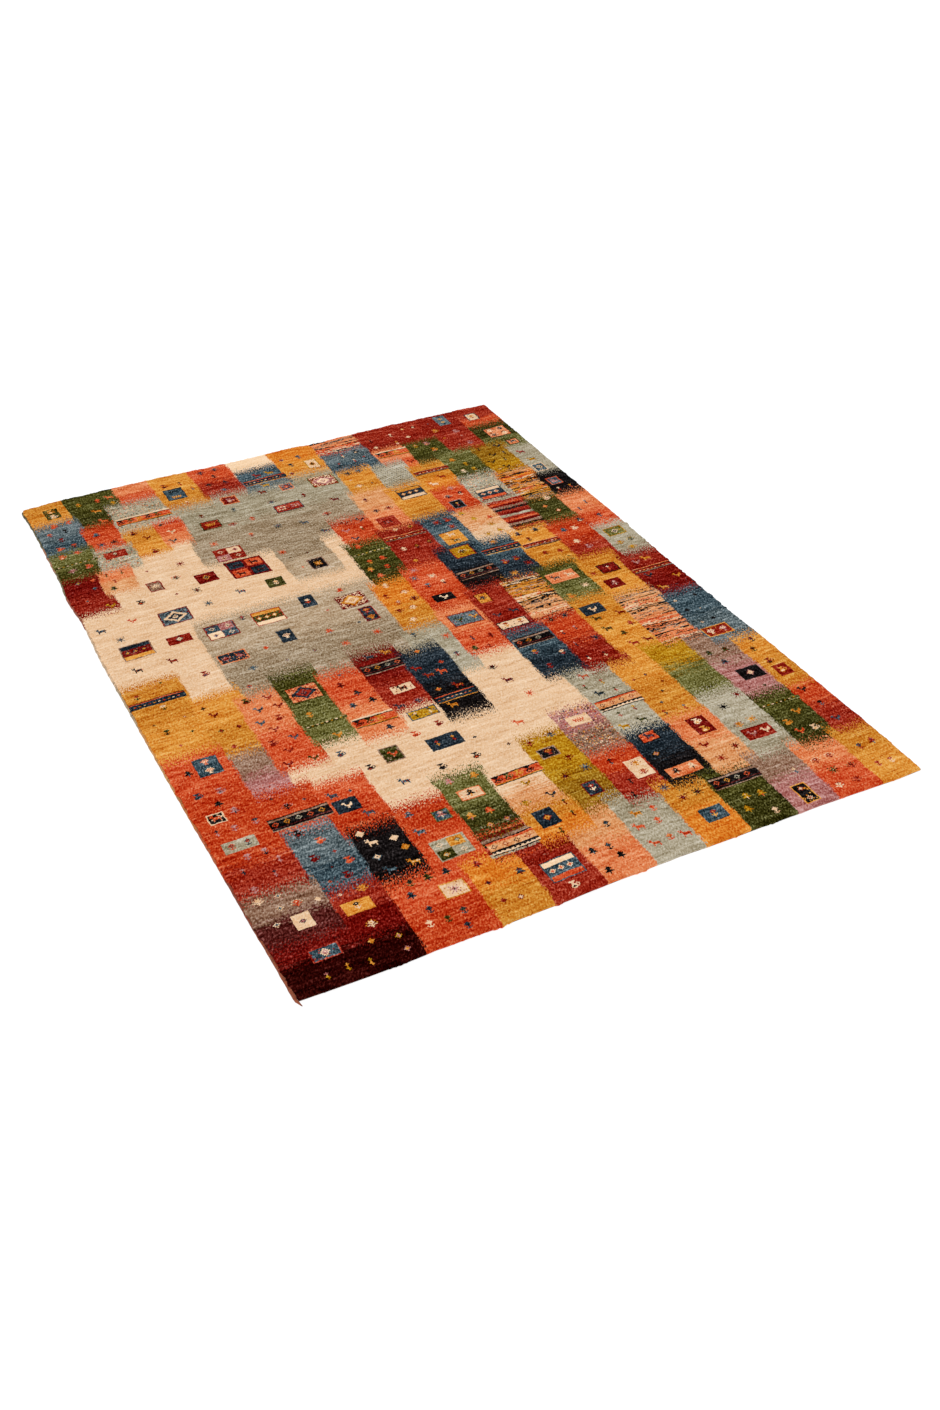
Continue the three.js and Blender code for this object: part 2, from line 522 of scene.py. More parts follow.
def paint_medallion(row, col, depth, width, first, second):
    """Nested stepped diamonds."""
    j, i = np.mgrid[0:depth, 0:width]
    far = np.abs(i - (width - 1) / 2) / (width / 2) + np.abs(j - (depth - 1) / 2) / (depth / 2)
    area = pattern[row:row + depth, col:col + width]
    for reach, name in zip(MEDALLION_REACHES, (first, second, first)):
        area[(far < reach)[:area.shape[0], :area.shape[1]]] = wool(name)


def paint_repeat(chart, row, col, depth, width, first, second):
    """Fills a box with as many motifs as fit, with the two wools taking turns."""
    down, along = max(depth // CHART_ROOM, 1), max(width // CHART_ROOM, 1)
    for j in range(down):
        for i in range(along):
            place = (row + (2 * j + 1) * depth // (2 * down), col + (2 * i + 1) * width // (2 * along))
            inks = (first, second) if (i + j) % 2 == 0 else (second, first)
            paint_chart(chart, *place, *inks)


# The share of knots in another wool in a box and behind a medallion, and the knots between lozenges
BOX_SPECKS = 0.07
MEDALLION_SPECKS = 0.3
LOZENGE_STEP = 7


def paint_box(x, y, w, d, ground, rim, content, first, second):
    """A box with a rim one knot wide and something in it. Its middle and size are in mm."""
    row, col = knots(y - d / 2), knots(x - w / 2)
    depth, width = knots(d), knots(w)
    boxed[row:row + depth, col:col + width] = True
    paint_rect(row, col, depth, width, rim)
    paint_rect(row + 1, col + 1, depth - 2, width - 2, ground)
    inner = pattern[row + 1:row + depth - 1, col + 1:col + width - 1]
    inner[picks[row + 1:row + depth - 1, col + 1:col + width - 1] < BOX_SPECKS] = wool(rim)
    middle = (row + depth // 2, col + width // 2)
    if content == "medallion":
        inner[picks[:inner.shape[0], :inner.shape[1]] < MEDALLION_SPECKS] = wool(second)
        paint_medallion(row + 2, col + 2, depth - 4, width - 4, first, second)
        paint_chart("dot", *middle, second, first)
    elif content == "quarters":
        half_depth, half_width = depth // 2, width // 2
        paint_rect(row + 1, col + 1, half_depth - 1, half_width - 1, first)
        paint_rect(row + half_depth, col + half_width, half_depth - 1, half_width - 1, second)
        for j in (1, 3):
            for i in (1, 3):
                ink = "cream" if i != j else (second if i == 1 else first)
                paint_chart("lozenge", row + j * depth // 4, col + i * width // 4, ink, ground)
    elif content == "panes":
        for j in (0, 1):
            for i in (0, 1):
                corner = (row + 2 + j * (depth // 2), col + 2 + i * (width // 2))
                paint_rect(*corner, depth // 2 - 3, width // 2 - 3, first if i == j else second)
                paint_chart("goat", corner[0] + depth // 4 - 2, corner[1] + width // 4 - 2, "ink", rim)
    elif content == "bands":
        third = max(depth // 4, 2)
        paint_rect(row + 1, col + 1, third, width - 2, second)
        paint_rect(row + depth - third - 1, col + 1, third, width - 2, first)
        for i in range(col + 5, col + width - 3, LOZENGE_STEP):
            paint_chart("lozenge", middle[0], i, first, second)
    else:
        paint_repeat(content, row, col, depth, width, first, second)


# Knots from one motif of a ribbon to the next
DASH_STEP = 4
MOTIF_STEP = 9


def paint_ribbon(left, right, near, kind):
    """A stack of thin bands, some with a row of small motifs in turning wools."""
    row, start, stop = knots(near), knots(left), min(knots(right), KNOTS_X)
    for count, ground, *motif in [band for name, *band in RIBBON_BANDS if name == kind]:
        paint_rect(row, start, count, stop - start, ground)
        if motif:
            chart, *inks = motif
            step = DASH_STEP if chart == "dash" else MOTIF_STEP
            for turn, i in enumerate(range(start + step // 2, stop - step // 2, step)):
                paint_chart(chart, row + count // 2, i, inks[turn % len(inks)], ground)
        row += count
    boxed[knots(near):row, start:stop] = True
    return slice(knots(near), row), slice(start, stop)


# The sizes of boxes in mm, and the least ones for the contents that need room
BOX_WIDTHS = (44, 56, 64, 72, 84, 96)
BOX_DEPTHS = (42, 50, 56, 66, 76)
RICH_CONTENTS = "medallion quarters panes bands".split()
RICH_WIDTH = 92
RICH_DEPTH = 74
PANES_SIZE = (118, 104)
# The cells in which boxes lie, in mm, in fields wider than CALM_WIDTH and in others, how far boxes stray in
# them, and the shares of cells with a box and of boxes with a rim
CALM_WIDTH = 400
CALM_CELL = 150
FIELD_CELL = 160
BOX_STRAY = 0.22
BOX_CHANCE = 0.85
RIM_CHANCE = 0.6
# How far apart wools that meet look at least, summed over red, green and blue
BOX_CONTRAST = 150
RIM_CONTRAST = 90
SECOND_CONTRAST = 130
MOTIF_CONTRAST = 120
# Mm from one small motif to the next, and as shares of that a row's depth, start and end, and the motifs'
# stray and steps. ROOM is the knots left free round each.
CALM_APART = 92
APART = (34, 52)
ROW_APART = 0.9
ROW_STARTS = (0.35, 0.75)
ROW_END = 0.25
MOTIF_STRAY = 0.14
STEPS = (0.85, 1.3)
ROOM = 6
# The share of narrow fields without motifs, and how many wools and kinds of them a field has
BARE_SHARE = 0.06
INK_COUNT = 5
CALM_KINDS = 6
FIELD_KINDS = 2


def contrast(a, b):
    """How far apart two wools look."""
    return np.abs(np.array(WOOL[a], float) - np.array(WOOL[b], float)).sum()


def pick_wool(names, grounds, least):
    """A random one of these wools that stands out from all the grounds."""
    fit = [name for name in names if min(contrast(name, ground) for ground in grounds) > least]
    return fit[rng.integers(len(fit))]


def strew(number, field, apart, inks, charts):
    """Motifs in loose rows over a field, wherever nothing else is knotted."""
    rows = int((field.far - field.near) // (apart * ROW_APART)) or 1
    for line in range(rows):
        y = field.near + (line + 0.5) * (field.far - field.near) / rows
        x = field.left + apart * ROW_STARTS[line % 2]
        while x < field.right - apart * ROW_END:
            j, i = (knots(at + rng.uniform(-MOTIF_STRAY, MOTIF_STRAY) * apart) for at in (y, x))
            chart = charts[rng.integers(len(charts))]
            first, second = rng.choice(inks, 2)
            x += apart * rng.uniform(*STEPS)
            if not (ROOM < j < KNOTS_Y - ROOM and ROOM < i < KNOTS_X - ROOM):
                continue
            around = (slice(j - ROOM, j + ROOM), slice(i - ROOM, i + ROOM))
            if not taken[around].any() and (field_numbers[around] == number).all():
                paint_chart(chart, j, i, first, second)
                taken[around] = True


def stray(cell, length, count):
    """A place near the middle of one of the equal cells along a length."""
    return length * (cell + 0.5 + rng.uniform(-BOX_STRAY, BOX_STRAY)) / count


def lay_boxes(number, field, cell):
    """Boxes of different sizes and contents, about one in each cell of the field."""
    width, length = field.right - field.left, field.far - field.near
    across, along = max(round(width / cell), 1), max(round(length / cell), 1)
    for b in range(along):
        for a in range(across):
            x = field.left + stray(a, width, across)
            y = field.near + stray(b, length, along)
            w, d = rng.choice(BOX_WIDTHS), rng.choice(BOX_DEPTHS)
            content = BOX_CONTENTS[rng.integers(len(BOX_CONTENTS))]
            if content in RICH_CONTENTS:
                w, d = max(w, RICH_WIDTH), max(d, RICH_DEPTH)
            if content == "panes":
                w, d = PANES_SIZE
            rows = slice(knots(y - d / 2) - 1, knots(y + d / 2) + 1)
            cols = slice(knots(x - w / 2) - 1, knots(x + w / 2) + 1)
            area = (rows, cols)
            if min(rows.start, cols.start) < 1 or rows.stop >= KNOTS_Y or cols.stop >= KNOTS_X:
                continue
            if taken[area].any() or (field_numbers[area] != number).any() or rng.random() > BOX_CHANCE:
                continue
            ground = pick_wool(BOX_WOOLS, (field.near_wool, field.far_wool), BOX_CONTRAST)
            rim = pick_wool(BOX_WOOLS, (ground,), RIM_CONTRAST) if rng.random() < RIM_CHANCE else ground
            first = pick_wool(INKS, (ground,), BOX_CONTRAST)
            second = pick_wool(INKS, (ground, first), SECOND_CONTRAST)
            paint_box(x, y, w, d, ground, rim, content, first, second)
            taken[area] = True


def dress_fields():
    """Boxes and small motifs for each field, by its size, wools and weave."""
    for number, field in enumerate(FIELDS):
        wools = (field.near_wool, field.far_wool)
        calm = field.right - field.left > CALM_WIDTH
        if field.weave in ("plain", "speckle"):
            lay_boxes(number, field, CALM_CELL if calm else FIELD_CELL)
        if field.weave != "plain" or (not calm and rng.random() < BARE_SHARE):
            continue
        inks = [pick_wool(FIELD_INKS, wools, MOTIF_CONTRAST) for _ in range(INK_COUNT)]
        motifs = DARK_FIELD_MOTIFS if "ink" in wools else SMALL_MOTIFS
        kinds = rng.permutation(motifs)[:CALM_KINDS if calm else FIELD_KINDS]
        strew(number, field, CALM_APART if calm else rng.uniform(*APART), inks, kinds)


field_numbers = number_fields()
field_colours, next_colours, next_share = paint_fields(field_numbers)
plain_pattern = pattern.copy()
taken = np.zeros(GRID, bool)
boxed = np.zeros(GRID, bool)
for ribbon in RIBBONS:
    taken[paint_ribbon(*ribbon)] = True
dress_fields()
has_motif = boxed | (pattern != plain_pattern)


# The rug's shape

def edge_out(edge, at):
    """How far an edge stands out at places along it, smoothly between the given ones."""
    places = np.array([row[0] for row in edge], float)
    outs = np.array([row[1] for row in edge], float)
    high = np.clip(np.searchsorted(places, at), 1, len(places) - 1)
    share = eased((at - places[high - 1]) / (places[high] - places[high - 1]))
    return outs[high - 1] + (outs[high] - outs[high - 1]) * share


def swing(swings, at):
    return sum(out * np.sin(tau * at / apart + shift) for out, apart, shift in swings)


def on_rug(x, y):
    """Moves points of a straight-edged rug, in mm from its middle, to the uneven one."""
    across, along = x + RUG_WIDTH / 2, y + RUG_LENGTH / 2
    growth = LEFT_GROWTH[0] + (LEFT_GROWTH[1] - LEFT_GROWTH[0]) * along / RUG_LENGTH
    left = -edge_out(LEFT_EDGE, along) - growth * swing(LEFT_SWINGS, along)
    front = -edge_out(FRONT_EDGE, across) - swing(FRONT_SWINGS, across)
    moved_x = x + left + (edge_out(RIGHT_EDGE, along) - left) * across / RUG_WIDTH + FRAME_SHIFT[0]
    moved_y = y + front + (edge_out(BACK_EDGE, across) - front) * along / RUG_LENGTH + FRAME_SHIFT[1]
    return moved_x, moved_y


def swell(x, y):
    to_rim = np.minimum(HALF_WIDTH - np.abs(x), HALF_LENGTH - np.abs(y))
    total = np.zeros_like(x)
    for high, apart_x, apart_y, shift_x, shift_y in SWELLS:
        wave_x = np.sin(tau * x / apart_x + shift_x)
        total += high * wave_x * np.cos(tau * y / apart_y + shift_y)
    return total * eased(to_rim / SWELL_FREE_RIM)


def side_line(half, count, rim):
    """One side's places and heights: the rim, the top's knots, and the rim again."""
    insets, heights = np.array(rim[:0:-1]).T
    top = half - rim[0][0]
    places = np.concatenate((insets - half, np.linspace(-top, top, count + 1), half - insets[::-1]))
    return places, np.concatenate((heights, np.full(count + 1, rim[0][1]), heights[::-1]))


RINGS = len(RIM) - 1
# How far the ripples of the rows run across and along, in knots
RIPPLE_RUNS = (13, 3)
line_x, height_x = side_line(HALF_WIDTH, KNOTS_X, RIM)
line_y, height_y = side_line(HALF_LENGTH, KNOTS_Y, END_RIM)
flat_x, flat_y = np.meshgrid(line_x, line_y)
SHAPE = flat_x.shape
ripples = averaged(averaged(normal(SHAPE), RIPPLE_RUNS[0], 1), RIPPLE_RUNS[1], 0)
level = np.minimum(height_x[None, :], height_y[:, None])
on_top = level == RIM[0][1]
# How far the knots stray in mm, on top and at the rim, and at most in spreads
TUFT_SPREAD = 0.5
RIM_SPREAD = 0.25
SPREAD_LIMIT = 2
# Mm that knots and ripples rise by, and the share of both at the rim
TUFT_RISE = 0.3
RIPPLE_RISE = 0.5
RIM_RISE = 0.3
# The pile's ragged, wavy sides: mm outwards, the knots each runs over, between which heights, and mm inside
# the edge where they begin
RAGGED_RIM = 1.1
WAVY_RIM = 2.1
TUFT_RUN = 3
BULGE_RUN = 9
RAGGED_HEIGHTS = (3, 11.9)
SIDE_ZONE = 3
# The front edge has only this share of that, as it is trimmed evenly, and so are parts of the right side:
# mm along it, and the share there
FRONT_CALM = 0.7
RIGHT_CALM = ((0, 0.55), (650, 0.55), (850, 1.0), (1350, 1.0), (1600, 0.6), (2380, 0.6))
jitter_x, jitter_y, jitter_z = (np.clip(normal(SHAPE), -SPREAD_LIMIT, SPREAD_LIMIT) for _ in range(3))
side_x, side_y = HALF_WIDTH - SIDE_ZONE, HALF_LENGTH - SIDE_ZONE
right_calm = edge_out(RIGHT_CALM, flat_y + RUG_LENGTH / 2)
outward_x = right_calm * (flat_x > side_x) - 1.0 * (flat_x < -side_x)
outward_y = 1.0 * (flat_y > side_y) - FRONT_CALM * (flat_y < -side_y)
tufts, bulges = (np.abs(averaged(averaged(normal(SHAPE), run, 0), run, 1)) for run in (TUFT_RUN, BULGE_RUN))
is_ragged = (level > RAGGED_HEIGHTS[0]) & (level < RAGGED_HEIGHTS[1])
ragged = np.where(is_ragged, RAGGED_RIM * tufts + WAVY_RIM * bulges, 0)
sprawl = np.where(on_top, TUFT_SPREAD, RIM_SPREAD)
pile_x, pile_y = on_rug(flat_x, flat_y)
pile_x = pile_x + sprawl * jitter_x + outward_x * ragged * (outward_y == 0)
pile_y = pile_y + sprawl * jitter_y + outward_y * ragged
relief = TUFT_RISE * jitter_z + RIPPLE_RISE * ripples
pile_z = level + np.where(on_top, swell(flat_x, flat_y) + relief, RIM_RISE * relief)
pile_points = np.stack((pile_x, pile_y, pile_z), -1) * MM


# Each knot's colour: its wool with streaks of hand-dyed yarn, deeper in strong colours, and painted shade

# Pale wool scatters light and dark wool swallows it, so both have less grain than middle tones.
PALE_EVENNESS = 0.6
DARK_GRAIN = 0.5
MIDDLE_GRAIN = 1.75
# Knots that a dye batch, a yarn and a groove of painted shade run over, and where grooves begin and how
# softly
BATCH_RUNS = (40, 3)
YARN_RUN = 12
GROOVE_SHADE_RUN = 13
GROOVE_SHADE_FREE = 0.84
GROOVE_SHADE_SOFTNESS = 0.1
uneven = {
    "batch": averaged(averaged(normal(GRID), BATCH_RUNS[0], 1), BATCH_RUNS[1], 0),
    "yarn": averaged(normal(GRID), YARN_RUN, 1),
    "knot": normal(GRID),
    "ripple_shading": ripples[RINGS:RINGS + KNOTS_Y, RINGS:RINGS + KNOTS_X],
    "groove_shade": ranked(averaged(normal(GRID), GROOVE_SHADE_RUN, 1)),
}
uneven["groove_shade"] = eased((uneven["groove_shade"] - GROOVE_SHADE_FREE) / GROOVE_SHADE_SOFTNESS)
# How much deeper in colour, and how much lighter, each of them makes a knot
# Painted shade and light: grooves darken thin lines between rows, ripples darken hollows and lighten crests
DEEPER = {"groove_shade": 0.16, "batch": -0.03, "yarn": -0.09, "knot": -0.045, "ripple_shading": -0.09}
LIGHTER = {"batch": 0.01, "yarn": 0.01, "ripple_shading": 0.01, "groove_shade": -0.05}
DEPTH_LIMITS = (0.6, 1.5)
own_colours = np.where(has_motif[..., None], wool_table[pattern], field_colours)
paleness = own_colours.mean(-1) / own_colours.mean(-1).max()
grain = DARK_GRAIN + MIDDLE_GRAIN * np.sqrt(paleness) * (1 - PALE_EVENNESS * paleness)
grain *= 1 - PALE_EVENNESS * paleness
# depth and tone carry both the dye streaks and the painted shade and light
depth = 1 + grain * sum(share * uneven[kind] for kind, share in DEEPER.items())
tone = sum((share * uneven[kind] for kind, share in LIGHTER.items()), 1)
knot_colours = own_colours ** np.clip(depth, *DEPTH_LIMITS)[..., None] * tone[..., None]
next_colours = next_colours * tone[..., None]
next_share[has_motif] = 0


def smooth_normals(points):
    along_x = np.gradient(points, axis=1)
    along_y = np.gradient(points, axis=0)
    normals = np.cross(along_x, along_y)
    return normals / np.linalg.norm(normals, axis=-1, keepdims=True)


pile_normals = smooth_normals(pile_points)


def grid_faces(rows, cols):
    """Quads of a grid of points, with rows and cols counting the quads."""
    j, i = np.mgrid[0:rows, 0:cols]
    a = j * (cols + 1) + i
    return np.stack((a, a + 1, a + cols + 2, a + cols + 1), -1).reshape(-1, 4)


def new_object(name, data):
    made = bpy.data.objects.new(name, data)
    bpy.context.scene.collection.objects.link(made)
    return made


def new_piece(name, points, faces, material):
    """A mesh from an array of points and a list or an array of faces."""
    mesh = bpy.data.meshes.new(name)
    mesh.from_pydata(points.tolist(), [], faces if isinstance(faces, list) else faces.tolist())
    mesh.validate()
    mesh.materials.append(material)
    return new_object(name, mesh)


def face_colours(mesh, name, colours, alpha=1):
    rgba = np.empty((len(colours), 4), np.float32)
    rgba[:, :3], rgba[:, 3] = colours, alpha
    mesh.attributes.new(name, "FLOAT_COLOR", "FACE").data.foreach_set("color", rgba.ravel())


def set_uvs(mesh, name, uvs):
    mesh.uv_layers.new(name=name).data.foreach_set("uv", np.asarray(uvs, np.float32).ravel())


# Materials

# The way the clipped yarn ends lean, and across it
LEAN_ALONG = (0.46, 0.89, 0.0)
LEAN_ACROSS = (0.89, -0.46, 0.0)
SHEEN_ROUGHNESS = 0.55


class Nodes:
    """A short way to write a material's node tree."""

    def __init__(self, name, roughness, sheen):
        self.material = bpy.data.materials.new(name)
        self.material.use_nodes = True
        self.tree = self.material.node_tree
        self.shader = self.tree.nodes["Principled BSDF"]
        self.shader.inputs["Roughness"].default_value = roughness
        self.shader.inputs["Specular IOR Level"].default_value = 0.0
        self.shader.inputs["Sheen Weight"].default_value = sheen
        self.shader.inputs["Sheen Roughness"].default_value = SHEEN_ROUGHNESS

    def add(self, kind, settings=(), **inputs):
        node = self.tree.nodes.new(kind)
        for key, value in dict(settings).items():
            setattr(node, key, value)
        for key, value in inputs.items():
            self.put(node.inputs[key.replace("_", " ")], value)
        return node

    def put(self, socket, value):
        if isinstance(value, bpy.types.NodeSocket):
            self.tree.links.new(value, socket)
        else:
            socket.default_value = value

    def pair(self, kind, operation, a, b):
        node = self.add(kind, {"operation": operation})
        self.put(node.inputs[0], a)
        self.put(node.inputs[1], b)
        return node

    def math(self, operation, a, b):
        return self.pair("ShaderNodeMath", operation, a, b).outputs[0]

    def times(self, a, b):
        return self.math("MULTIPLY", a, b)

    def plus(self, a, b):
        return self.math("ADD", a, b)

    def spread(self, value, low, high, to_low, to_high, smooth=False):
        node = self.add("ShaderNodeMapRange", {"interpolation_type": "SMOOTHSTEP" if smooth else "LINEAR"})
        for socket, number in zip(node.inputs[:5], (value, low, high, to_low, to_high)):
            self.put(socket, number)
        return node.outputs[0]

    def noise(self, vector, scale, detail=2.0):
        node = self.add("ShaderNodeTexNoise", Vector=vector, Scale=scale, Detail=detail)
        return node.outputs["Fac"]

    def tinted(self, colour, factor):
        node = self.add("ShaderNodeVectorMath", {"operation": "SCALE"})
        self.put(node.inputs[0], colour)
        self.put(node.inputs["Scale"], factor)
        return node.outputs[0]

    def leaning(self, grid, across, along):
        """Coordinates along the clipped yarn ends, which lean to the right and the back."""
        scaled = []
        for way, scale in ((LEAN_ACROSS, across), (LEAN_ALONG, along)):
            part = self.pair("ShaderNodeVectorMath", "DOT_PRODUCT", grid, way).outputs["Value"]
            scaled.append(self.times(part, scale))
        return self.add("ShaderNodeCombineXYZ", X=scaled[0], Y=scaled[1]).outputs[0]

    def mixed(self, factor, a, b):
        node = self.add("ShaderNodeMix", {"data_type": "RGBA"})
        for socket, value in ((0, factor), (6, a), (7, b)):
            self.put(node.inputs[socket], value)
        return node.outputs[2]

    def bump(self, height, distance):
        node = self.add("ShaderNodeBump", Strength=1.0, Distance=distance, Height=height)
        self.tree.links.new(node.outputs[0], self.shader.inputs["Normal"])

    def colour(self, value):
        self.put(self.shader.inputs["Base Color"], value)


# Dark wool has less grain: this share of it where black, all of it above this brightness.
DARK_EVENNESS = 0.55
DARK_BELOW = 0.06
# How softly single yarn ends of the next wool mix in.
MIX_SOFTNESS = 0.3
# How fine each noise is: wobble, loose and single yarn ends across and along their lean, to a knot, and
# fibres and clumps to a metre
WOBBLE = 1.1
YARN_ENDS = (0.8, 0.42)
SINGLE_ENDS = (1.35, 0.45)
FIBRES = 1100.0
CLUMPS = 210.0
# The part of each noise's range that counts
FIBRE_RANGE = (0.25, 0.75)
YARN_RANGE = (0.3, 0.7)
SINGLE_RANGE = (0.32, 0.68)
# How much of half a knot its dome rises over, across and along, and the painted light on its middle
DOME = (0.3, 0.38)
PAINTED_DOME_LIGHT = 1.06
FIBRE_SHADES = (0.93, 1.06)
# The brightness from which pale wool is as even as it gets
PALE_ABOVE = 0.6
# What tufts, fibres, yarn ends and clumps add to the relief
RELIEF = (0.4, 0.25, 0.8, 0.5)


def knotted_wool(name, painted_gap_shade, relief, strokes, powers, dissolving):
    """Wool knots: a dome for each, painted shade between them, and leaning yarn ends and fine fibres over
    all.
    """
    m = Nodes(name, roughness=0.95, sheen=0.0)
    knot = m.add("ShaderNodeAttribute", {"attribute_name": "knot_wool"}).outputs["Color"]
    grid = m.add("ShaderNodeUVMap", {"uv_map": "knots"}).outputs[0]
    where = m.add("ShaderNodeTexCoord").outputs["Object"]
    wobble = m.add("ShaderNodeTexNoise", Vector=grid, Scale=WOBBLE, Detail=1.0).outputs["Color"]
    wobbly = m.pair("ShaderNodeVectorMath", "ADD", grid, wobble).outputs[0]
    parts = m.add("ShaderNodeSeparateXYZ", Vector=wobbly)
    across = m.spread(m.math("PINGPONG", parts.outputs[0], 0.5), 0.0, DOME[0], 0.5, 1.0, True)
    along = m.spread(m.math("PINGPONG", parts.outputs[1], 0.5), 0.0, DOME[1], 0.0, 1.0, True)
    tuft = m.times(across, along)
    yarn_ends = m.noise(m.leaning(grid, *YARN_ENDS), 1.0, 2.0)
    fibres = m.noise(where, FIBRES, 3.0)
    clumps = m.noise(where, CLUMPS, 2.0)
    if dissolving:
        mix = m.add("ShaderNodeAttribute", {"attribute_name": "next_wool"})
        single_ends = m.noise(m.leaning(grid, *SINGLE_ENDS), 1.0, 0.5)
        single_ends = m.spread(single_ends, *SINGLE_RANGE, 0.0, 1.0)
        aim = m.math("SUBTRACT", m.times(mix.outputs["Alpha"], 1 + MIX_SOFTNESS), MIX_SOFTNESS)
        shown = m.spread(single_ends, aim, m.plus(aim, MIX_SOFTNESS), 1.0, 0.0, True)
        knot = m.mixed(shown, knot, mix.outputs["Color"])
    # Painted shade in the gaps between knots and painted light on their domes, times the yarn's own tones
    shade = m.spread(tuft, 0, 1, painted_gap_shade, PAINTED_DOME_LIGHT)
    shade = m.times(shade, m.spread(fibres, *FIBRE_RANGE, *FIBRE_SHADES))
    shade = m.times(shade, m.spread(yarn_ends, *YARN_RANGE, *strokes))
    brightness = m.add("ShaderNodeRGBToBW", Color=knot).outputs[0]
    evenness = m.spread(brightness, 0.0, PALE_ABOVE, 1.0, 1 - PALE_EVENNESS)
    evenness = m.times(evenness, m.spread(brightness, 0.0, DARK_BELOW, DARK_EVENNESS, 1.0))
    power = m.plus(m.times(m.spread(yarn_ends, *YARN_RANGE, *powers), evenness), 1.0)
    deepened = m.add("ShaderNodeGamma", Color=knot, Gamma=power).outputs[0]
    m.colour(m.tinted(deepened, shade))
    height = m.times(tuft, RELIEF[0])
    for part, share in zip((fibres, yarn_ends, clumps), RELIEF[1:]):
        height = m.plus(height, m.times(part, share))
    m.bump(height, relief)
    return m.material


# Painted shade between knots: faint on the pile, deep on the back
pile_wool = knotted_wool(
    "pile_wool", painted_gap_shade=0.97, relief=0.0005, strokes=(0.99, 1.01), powers=(0.74, -0.52), dissolving=True
)
back_wool = knotted_wool(
    "back_wool", painted_gap_shade=0.45, relief=0.0006, strokes=(0.95, 1.05), powers=(0.1, -0.1), dissolving=False
)


# The pile, in bands split between two rows of knots

# Light comes through the loose yarn low at the ends, so they look as bright as the top.
END_LIGHT = 1.3
LIT_ROWS = 2
pile_pieces = []
quads_along, quads_across = SHAPE[0] - 1, SHAPE[1] - 1
row_of = np.clip(np.arange(quads_along) - RINGS, 0, KNOTS_Y - 1)
col_of = np.clip(np.arange(quads_across) - RINGS, 0, KNOTS_X - 1)
quad_colours, quad_next, quad_share = (
    part[row_of][:, col_of] for part in (knot_colours, next_colours, next_share)
)
quad_colours[np.r_[0:LIT_ROWS, quads_along - LIT_ROWS:quads_along]] *= END_LIGHT
cuts = [0] + [RINGS + KNOTS_Y * k // len(PILE_BANDS) for k in range(1, len(PILE_BANDS))] + [quads_along]
for name, start, stop in zip(PILE_BANDS, cuts, cuts[1:]):
    points = pile_points[start:stop + 1].reshape(-1, 3)
    faces = grid_faces(stop - start, quads_across)
    band = new_piece(name, points, faces, pile_wool)
    face_colours(band.data, "knot_wool", quad_colours[start:stop].reshape(-1, 3))
    face_colours(band.data, "next_wool", quad_next[start:stop].reshape(-1, 3), quad_share[start:stop].ravel())
    j, i = np.mgrid[start:stop + 1, 0:SHAPE[1]]
    marks = np.stack((i - RINGS, j - RINGS), -1).reshape(-1, 2)
    set_uvs(band.data, "knots", marks[faces.ravel()])
    band.data.shade_smooth()
    band.data.normals_split_custom_set_from_vertices(pile_normals[start:stop + 1].reshape(-1, 3).tolist())
    pile_pieces.append(band)


# The woven foundation: its flat back shows the same pattern, row by row

# The turned-under ends in mm, and the longest face and the depth of a row in knots
HEM = 26
LONGEST_RUN = 24
BACK_STEP = 2
BACK_DULL = 0.82
FOUNDATION_HEIGHT = 3.0
# Knots between the points of its sides, across and along
SIDE_STEPS = (8, 6)
HEM_WOOL = linear((150, 96, 70))
hem_rows = knots(HEM)
quads, quad_wools = [], []
edges_x = np.linspace(-HALF_WIDTH, HALF_WIDTH, KNOTS_X + 1)
edges_y = np.linspace(-HALF_LENGTH, HALF_LENGTH, KNOTS_Y + 1)
for j in range(0, KNOTS_Y, BACK_STEP):
    in_hem = j < hem_rows or j >= KNOTS_Y - hem_rows
    row = np.zeros(KNOTS_X, int) if in_hem else np.repeat(pattern[j, ::BACK_STEP], BACK_STEP)
    starts = np.flatnonzero(np.diff(row, prepend=-1))
    stops = np.append(starts[1:], KNOTS_X)
    for start, stop in zip(starts, stops):
        for a in range(start, stop, LONGEST_RUN):
            b = min(a + LONGEST_RUN, stop)
            quads.append(((a, j), (a, j + BACK_STEP), (b, j + BACK_STEP), (b, j)))
            quad_wools.append(HEM_WOOL if in_hem else wool_table[row[a]] * BACK_DULL)
quads = np.array(quads)
marks = quads.reshape(-1, 2)
back_x, back_y = on_rug(edges_x[marks[:, 0]], edges_y[marks[:, 1]])
back_points = np.stack((back_x, back_y, np.zeros(len(marks))), -1) * MM
back_faces = np.arange(len(marks)).reshape(-1, 4)

rim = [(i, 0) for i in range(0, KNOTS_X, SIDE_STEPS[0])]
rim += [(KNOTS_X, j) for j in range(0, KNOTS_Y, SIDE_STEPS[1])]
rim += [(i, KNOTS_Y) for i in range(KNOTS_X, 0, -SIDE_STEPS[0])]
rim += [(0, j) for j in range(KNOTS_Y, 0, -SIDE_STEPS[1])]
rim = np.array(rim)
rim_x, rim_y = on_rug(edges_x[rim[:, 0]], edges_y[rim[:, 1]])
count = len(rim)
low, high = (np.stack((rim_x, rim_y, np.full(count, z)), -1) * MM for z in (0, FOUNDATION_HEIGHT))
first = len(back_points)
k = np.arange(count)
after = (k + 1) % count
side_faces = np.stack((k, after, after + count, k + count), -1) + first
faces = np.concatenate((back_faces, side_faces))
foundation = new_piece("foundation", np.concatenate((back_points, low, high)), faces, back_wool)
side_wools = np.tile(HEM_WOOL, (count, 1))
face_colours(foundation.data, "knot_wool", np.concatenate((np.array(quad_wools), side_wools)))
side_marks = np.stack((k, np.zeros(count)), -1)
side_marks = np.concatenate((side_marks, side_marks + (0, 1)))
all_marks = np.concatenate((marks, side_marks))
